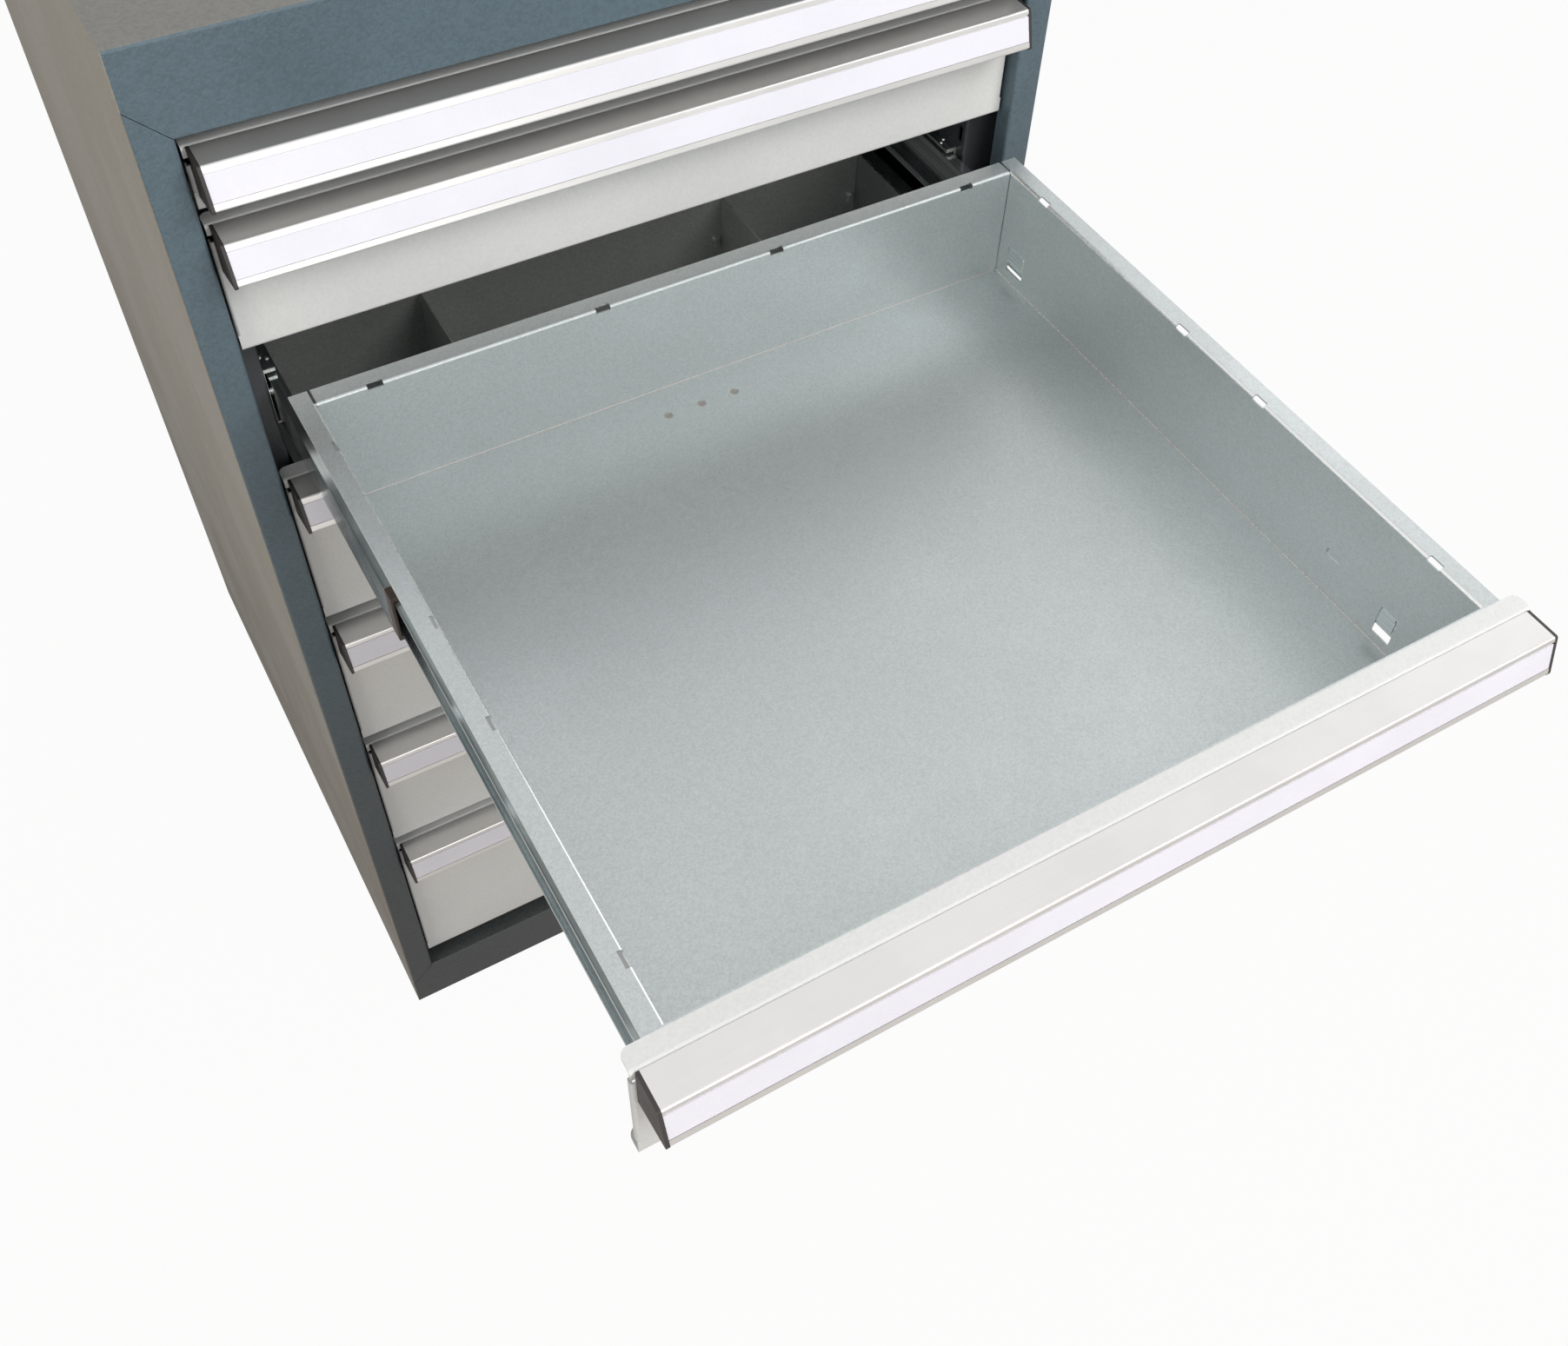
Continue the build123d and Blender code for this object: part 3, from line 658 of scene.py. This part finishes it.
# plastic stops on the front ends of the middle rails: a cup and two tongues
stopSizes = {
    "reach": 0.012,
    "outer": 0.3132,
    "inner": 0.3038,
    "web": 0.0024,
    "half": 0.0222,
    "jaw": 0.0044,
    "overlap": 0.001,
    "bevel": 0.0007,
}
tongueSizes = {"reach": 0.012, "outer": 0.3115, "inner": 0.3055, "high": 0.0205, "low": 0.0178}


def makeStops(number):
    low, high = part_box(f"drawer_{number}_middle_rails")
    centreZ = (low.z + high.z) / 2
    size, tongue = stopSizes, tongueSizes
    outer, inner, half = size["outer"], size["inner"], size["half"]
    jaw, innerWeb = half - size["jaw"], outer - size["web"]
    cup = [(outer, -half), (inner, -half), (inner, -jaw), (innerWeb, -jaw)]
    cup += [(innerWeb, jaw), (inner, jaw), (inner, half), (outer, half)]
    parts = []
    for side in (-1, 1):
        across, up = (side, 0, 0), (0, 0, 1)
        start, end = (0, low.y - size["reach"], centreZ), (0, low.y, centreZ)
        parts.append(sweptOutline(cup, start, end, across, up))
        start = (0, low.y - size["overlap"], centreZ)
        end = (0, low.y + tongue["reach"], centreZ)
        for turn in (-1, 1):
            near, far = turn * tongue["low"], turn * tongue["high"]
            bar = rectangle(tongue["outer"], near, tongue["inner"], far)
            parts.append(sweptOutline(bar, start, end, across, up))
    name, body = f"rail_stops_{number}", f"middle_slides_{number}"
    makePiece(name, *joinParts(parts), stopPlastic, body, "cap_plastic", size["bevel"])


for number in drawerNumbers:
    makeStops(number)
print("rail stops made")

# bent tabs and pressed knobs on the front ends of the fixed rails
tabSizes = {
    "half": 0.027,
    "outer": 0.3161,
    "inner": 0.3058,
    "proud": 0.0014,
    "overlap": 0.0002,
    "deep": 0.0026,
    "rise": 0.0007,
    "bevel": 0.0004,
}
knobSizes = {
    "radius": 0.0019,
    "height": 0.0013,
    "places": ((0.3082, 0.012), (0.3128, 0.0155)),
    "sides": 12,
    "rings": 3,
}


def makeKnob(centre):
    radius, height = knobSizes["radius"], knobSizes["height"]
    sides, rings = knobSizes["sides"], knobSizes["rings"]
    points = [centre + Vector((0, 0, height))]
    for ring in range(1, rings + 1):
        tilt = math.radians(90) * ring / rings
        ringRadius = radius * math.sin(tilt)
        for step in range(sides):
            angle = 2 * math.pi * step / sides
            x, y = ringRadius * math.cos(angle), ringRadius * math.sin(angle)
            points.append(centre + Vector((x, y, height * math.cos(tilt))))
    faces = [(0, 1 + step, 1 + (step + 1) % sides) for step in range(sides)]
    for ring in range(rings - 1):
        first, second = 1 + ring * sides, 1 + (ring + 1) * sides
        for step in range(sides):
            after = (step + 1) % sides
            faces.append((first + step, second + step, second + after, first + after))
    faces.append(tuple(reversed(range(1 + (rings - 1) * sides, 1 + rings * sides))))
    return points, faces


def makeRailEnds(number):
    low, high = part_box(f"drawer_{number}_inner_rails")
    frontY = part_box("fixed_rails_left")[0].y
    size = tabSizes
    topZ = (low.z + high.z) / 2 + size["half"]
    tab = rectangle(size["outer"], size["rise"], size["inner"], -size["deep"])
    start, end = (0, frontY - size["proud"], topZ), (0, frontY + size["overlap"], topZ)
    parts = []
    for side in (-1, 1):
        parts.append(sweptOutline(tab, start, end, (side, 0, 0), (0, 0, 1)))
        for across, back in knobSizes["places"]:
            parts.append(makeKnob(Vector((side * across, frontY + back, topZ))))
    name = f"rail_ends_{number}"
    makePiece(name, *joinParts(parts), tabZinc, "cabinet", "rail_zinc", size["bevel"])


for number in drawerNumbers:
    makeRailEnds(number)
print("rail ends made")

cameraLook = {
    "place": (-0.4470, -1.2965, 1.7527),
    "yaw": 0.57,
    "pitch": 0.8925,
    "roll": -0.0549,
    "lens": 36.563,
    "sensor": 36,
    "shift": (-0.0116, -0.0200),
    "farEnd": 50,
}


def makeCamera():
    look = cameraLook
    yaw, pitch, roll = look["yaw"], look["pitch"], look["roll"]
    level = Vector((math.cos(yaw), -math.sin(yaw), 0))
    forward = Vector((math.sin(yaw), math.cos(yaw), 0))
    ahead = forward * math.cos(pitch) - Vector((0, 0, 1)) * math.sin(pitch)
    below = ahead.cross(level)
    right = level * math.cos(roll) + below * math.sin(roll)
    down = below * math.cos(roll) - level * math.sin(roll)
    turn = Matrix((right, -down, -ahead)).transposed()
    cameraData = bpy.data.cameras.new("photoCamera")
    cameraData.sensor_fit = "HORIZONTAL"
    cameraData.sensor_width = look["sensor"]
    cameraData.lens = look["lens"]
    cameraData.shift_x, cameraData.shift_y = look["shift"]
    cameraData.clip_end = look["farEnd"]
    camera = bpy.data.objects.new("photoCamera", cameraData)
    bpy.context.scene.collection.objects.link(camera)
    camera.matrix_world = Matrix.Translation(look["place"]) @ turn.to_4x4()
    bpy.context.scene.camera = camera


# nearly white to the camera, partly white in metal, and matte to all other rays
floorLook = {"reach": 14, "colour": (0.32, 0.28, 0.24, 1), "seen": 0.96, "reflected": 0.4}


def makeFloor():
    look = floorLook
    reach = look["reach"]
    corners = [(-reach, -reach, 0), (reach, -reach, 0), (reach, reach, 0), (-reach, reach, 0)]
    mesh = bpy.data.meshes.new("studioFloor")
    mesh.from_pydata(corners, [], [(0, 1, 2, 3)])
    floor = bpy.data.objects.new("studioFloor", mesh)
    bpy.context.scene.collection.objects.link(floor)
    material = bpy.data.materials.new("studioFloor")
    material.use_nodes = True
    tree = material.node_tree
    tree.nodes.clear()
    output = addNode(tree, "ShaderNodeOutputMaterial")
    matte = addNode(tree, "ShaderNodeBsdfDiffuse")
    matte.inputs["Color"].default_value = look["colour"]
    white = addNode(tree, "ShaderNodeEmission")
    white.inputs["Color"].default_value = (1, 1, 1, 1)
    path = addNode(tree, "ShaderNodeLightPath").outputs
    direct = maths(tree, "MAXIMUM", path["Is Camera Ray"], path["Is Transmission Ray"])
    seen = maths(tree, "MULTIPLY", direct, look["seen"])
    reflected = maths(tree, "MULTIPLY", path["Is Glossy Ray"], look["reflected"])
    blend = addNode(tree, "ShaderNodeMixShader")
    feed(tree, blend.inputs[0], maths(tree, "MAXIMUM", seen, reflected))
    tree.links.new(matte.outputs[0], blend.inputs[1])
    tree.links.new(white.outputs[0], blend.inputs[2])
    tree.links.new(blend.outputs[0], output.inputs["Surface"])
    mesh.materials.append(material)


worldLook = {"lightStrength": 0.34, "lightColour": (0.97, 0.985, 1.0, 1)}


def makeWorld():
    world = bpy.data.worlds.new("studioWorld")
    bpy.context.scene.world = world
    world.use_nodes = True
    tree = world.node_tree
    tree.nodes.clear()
    output = addNode(tree, "ShaderNodeOutputWorld")
    shown = addNode(tree, "ShaderNodeBackground")
    shown.inputs["Color"].default_value = (1, 1, 1, 1)
    shown.inputs["Strength"].default_value = 1.0
    light = addNode(tree, "ShaderNodeBackground")
    light.inputs["Color"].default_value = worldLook["lightColour"]
    light.inputs["Strength"].default_value = worldLook["lightStrength"]
    path = addNode(tree, "ShaderNodeLightPath").outputs
    direct = maths(tree, "MAXIMUM", path["Is Camera Ray"], path["Is Transmission Ray"])
    blend = addNode(tree, "ShaderNodeMixShader")
    feed(tree, blend.inputs[0], maths(tree, "MAXIMUM", direct, path["Is Glossy Ray"]))
    tree.links.new(light.outputs[0], blend.inputs[1])
    tree.links.new(shown.outputs[0], blend.inputs[2])
    tree.links.new(blend.outputs[0], output.inputs["Surface"])


# a light without shine doesn't show in metal
lightLooks = {
    "overLight": {
        "place": (1.2, -2.2, 3.1),
        "aim": (0.1, -0.5, 0.9),
        "size": 1.8,
        "power": 78.0,
        "colour": (1.0, 0.99, 0.98),
        "shine": False,
    },
    "edgeLight": {
        "place": (1.9, -2.4, 3.0),
        "aim": (0.0, -0.5, 0.95),
        "size": 0.9,
        "power": 9.0,
        "colour": (1.0, 0.99, 0.98),
        "shine": True,
    },
    "frontLight": {
        "place": (-0.4, -3.6, 1.6),
        "aim": (0.0, -0.3, 0.9),
        "size": 2.4,
        "power": 34.0,
        "colour": (1.0, 0.985, 0.96),
        "shine": True,
    },
    "sideLight": {
        "place": (-2.8, -1.3, 1.9),
        "aim": (-0.35, -0.1, 1.0),
        "size": 1.8,
        "power": 38.0,
        "colour": (1.0, 0.985, 0.95),
        "shine": True,
    },
    "rearLight": {
        "place": (2.8, 0.5, 1.9),
        "aim": (0.0, -0.6, 0.95),
        "size": 1.3,
        "power": 12.0,
        "colour": (1.0, 0.99, 0.98),
        "shine": True,
    },
}


def makeLights():
    for name, look in lightLooks.items():
        lamp = bpy.data.lights.new(name, "AREA")
        lamp.shape = "SQUARE"
        lamp.size = look["size"]
        lamp.energy = look["power"]
        lamp.color = look["colour"]
        light = bpy.data.objects.new(name, lamp)
        bpy.context.scene.collection.objects.link(light)
        light.location = look["place"]
        light.visible_glossy = look["shine"]
        toward = Vector(look["aim"]) - Vector(look["place"])
        light.rotation_mode = "QUATERNION"
        light.rotation_quaternion = toward.to_track_quat("-Z", "Y")


makeFloor()
makeWorld()
makeLights()
makeCamera()
bpy.context.scene.view_settings.view_transform = "Standard"
print("stage, lights and camera made")
